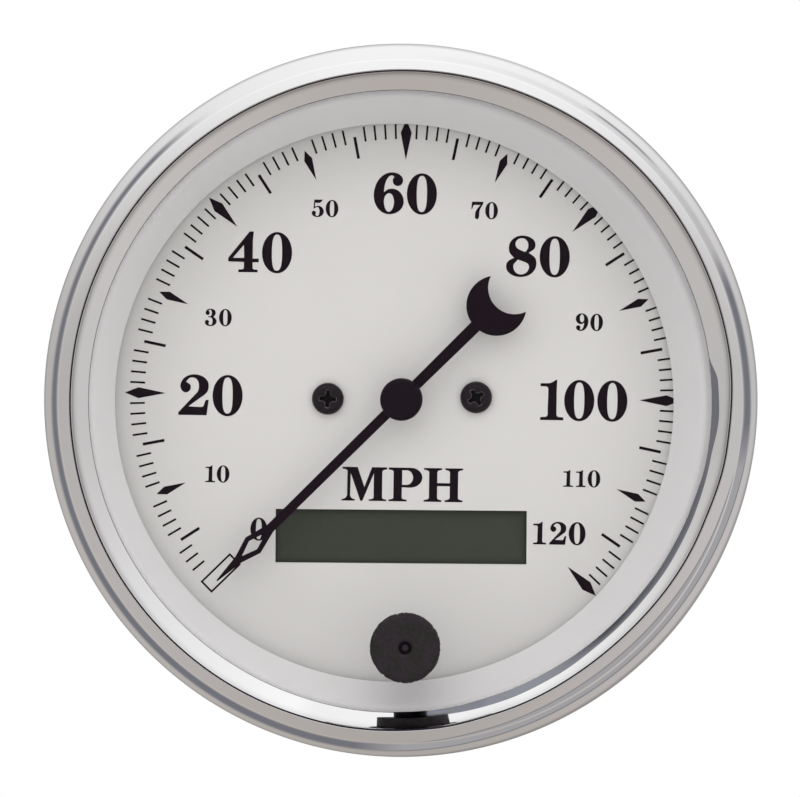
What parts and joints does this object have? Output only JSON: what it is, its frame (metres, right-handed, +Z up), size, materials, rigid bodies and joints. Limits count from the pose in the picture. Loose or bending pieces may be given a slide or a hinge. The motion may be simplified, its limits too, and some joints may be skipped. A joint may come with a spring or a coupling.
{
  "type": "electronic speedometer",
  "caption": "Round in-dash speedometer with a white dial, skeleton pointer on an air-core movement, LCD odometer, push trip button and rolled chrome bezel.",
  "frame": {"origin": "on the dial axis, in the panel plane, where the back of the bezel rests", "axes": "+Y out of the back of the case along the dial axis, +Z up on the dial, the dial faces -Y"},
  "size_m": [0.094, 0.0771, 0.094],
  "materials": {
    "chrome": "polished chrome plate",
    "clear_lens": "clear, smooth",
    "black_rubber": "matt, slightly rough edge",
    "satin_silver": "satin silver",
    "dial_white": "satin white",
    "black_screw": "black oxide",
    "black_case": "black, fine texture",
    "white_plastic": "matt white",
    "ivory_plastic": "natural",
    "black_plastic": "moulded black",
    "pointer_black": "matt black",
    "enamelled_copper": "enamelled wire",
    "steel": "bright steel",
    "brass": "turned",
    "board_green": "solder mask",
    "capacitor_sleeve": "printed sleeve",
    "lcd_glass": "blank grey-green display",
    "clear_plastic": "clear moulding",
    "bulb_glass": "clear lamp glass",
    "magnet": "sintered",
    "tin": "tinned"
  },
  "bodies": {
    "gauge": {"bezel": "chrome", "lens": "clear_lens", "lens_gasket": "black_rubber", "reflector_ring": "satin_silver", "dial": "dial_white", "dial_screws": "black_screw", "case": "black_case", "light_cup": "white_plastic", "bobbin_front": "ivory_plastic", "bobbin_rear": "ivory_plastic", "sine_coil": "enamelled_copper", "cosine_coil": "enamelled_copper", "shield_can": "steel", "front_bearing": "brass", "rear_bearing": "brass", "circuit_board": "board_green", "board_screws": "steel", "microcontroller": "black_plastic", "voltage_regulator": "black_plastic", "capacitors": "capacitor_sleeve", "lcd_panel": "lcd_glass", "lcd_frame": "white_plastic", "lcd_light_guide": "clear_plastic", "lcd_pins": "tin", "lamp_sockets": "ivory_plastic", "lamp_bulbs": "bulb_glass", "bracket_studs": "steel", "terminal_block": "black_plastic", "terminal_blades": "tin", "trip_bush": "black_plastic", "trip_switch": "black_plastic", "trip_spring": "steel"},
    "needle": {"pointer": "pointer_black", "pointer_hub": "black_plastic", "pointer_spindle": "steel", "rotor_magnet": "magnet"},
    "trip_button": {"trip_knob": "black_rubber", "trip_stem": "black_plastic", "trip_clip": "steel", "trip_plunger": "white_plastic"}
  },
  "joints": [
    {"name": "pointer_sweep", "type": "hinge", "parent": "gauge", "child": "needle", "pos_m": [0, 0, 0], "axis": [0, 1, 0], "range_deg": [0, 270]},
    {"name": "trip_press", "type": "slide", "parent": "gauge", "child": "trip_button", "axis": [0, 1, 0], "range_m": [0, 0.001], "stiffness_N_per_m": 800, "springref_m": -0.001, "deforming": ["trip_spring"]}
  ]
}
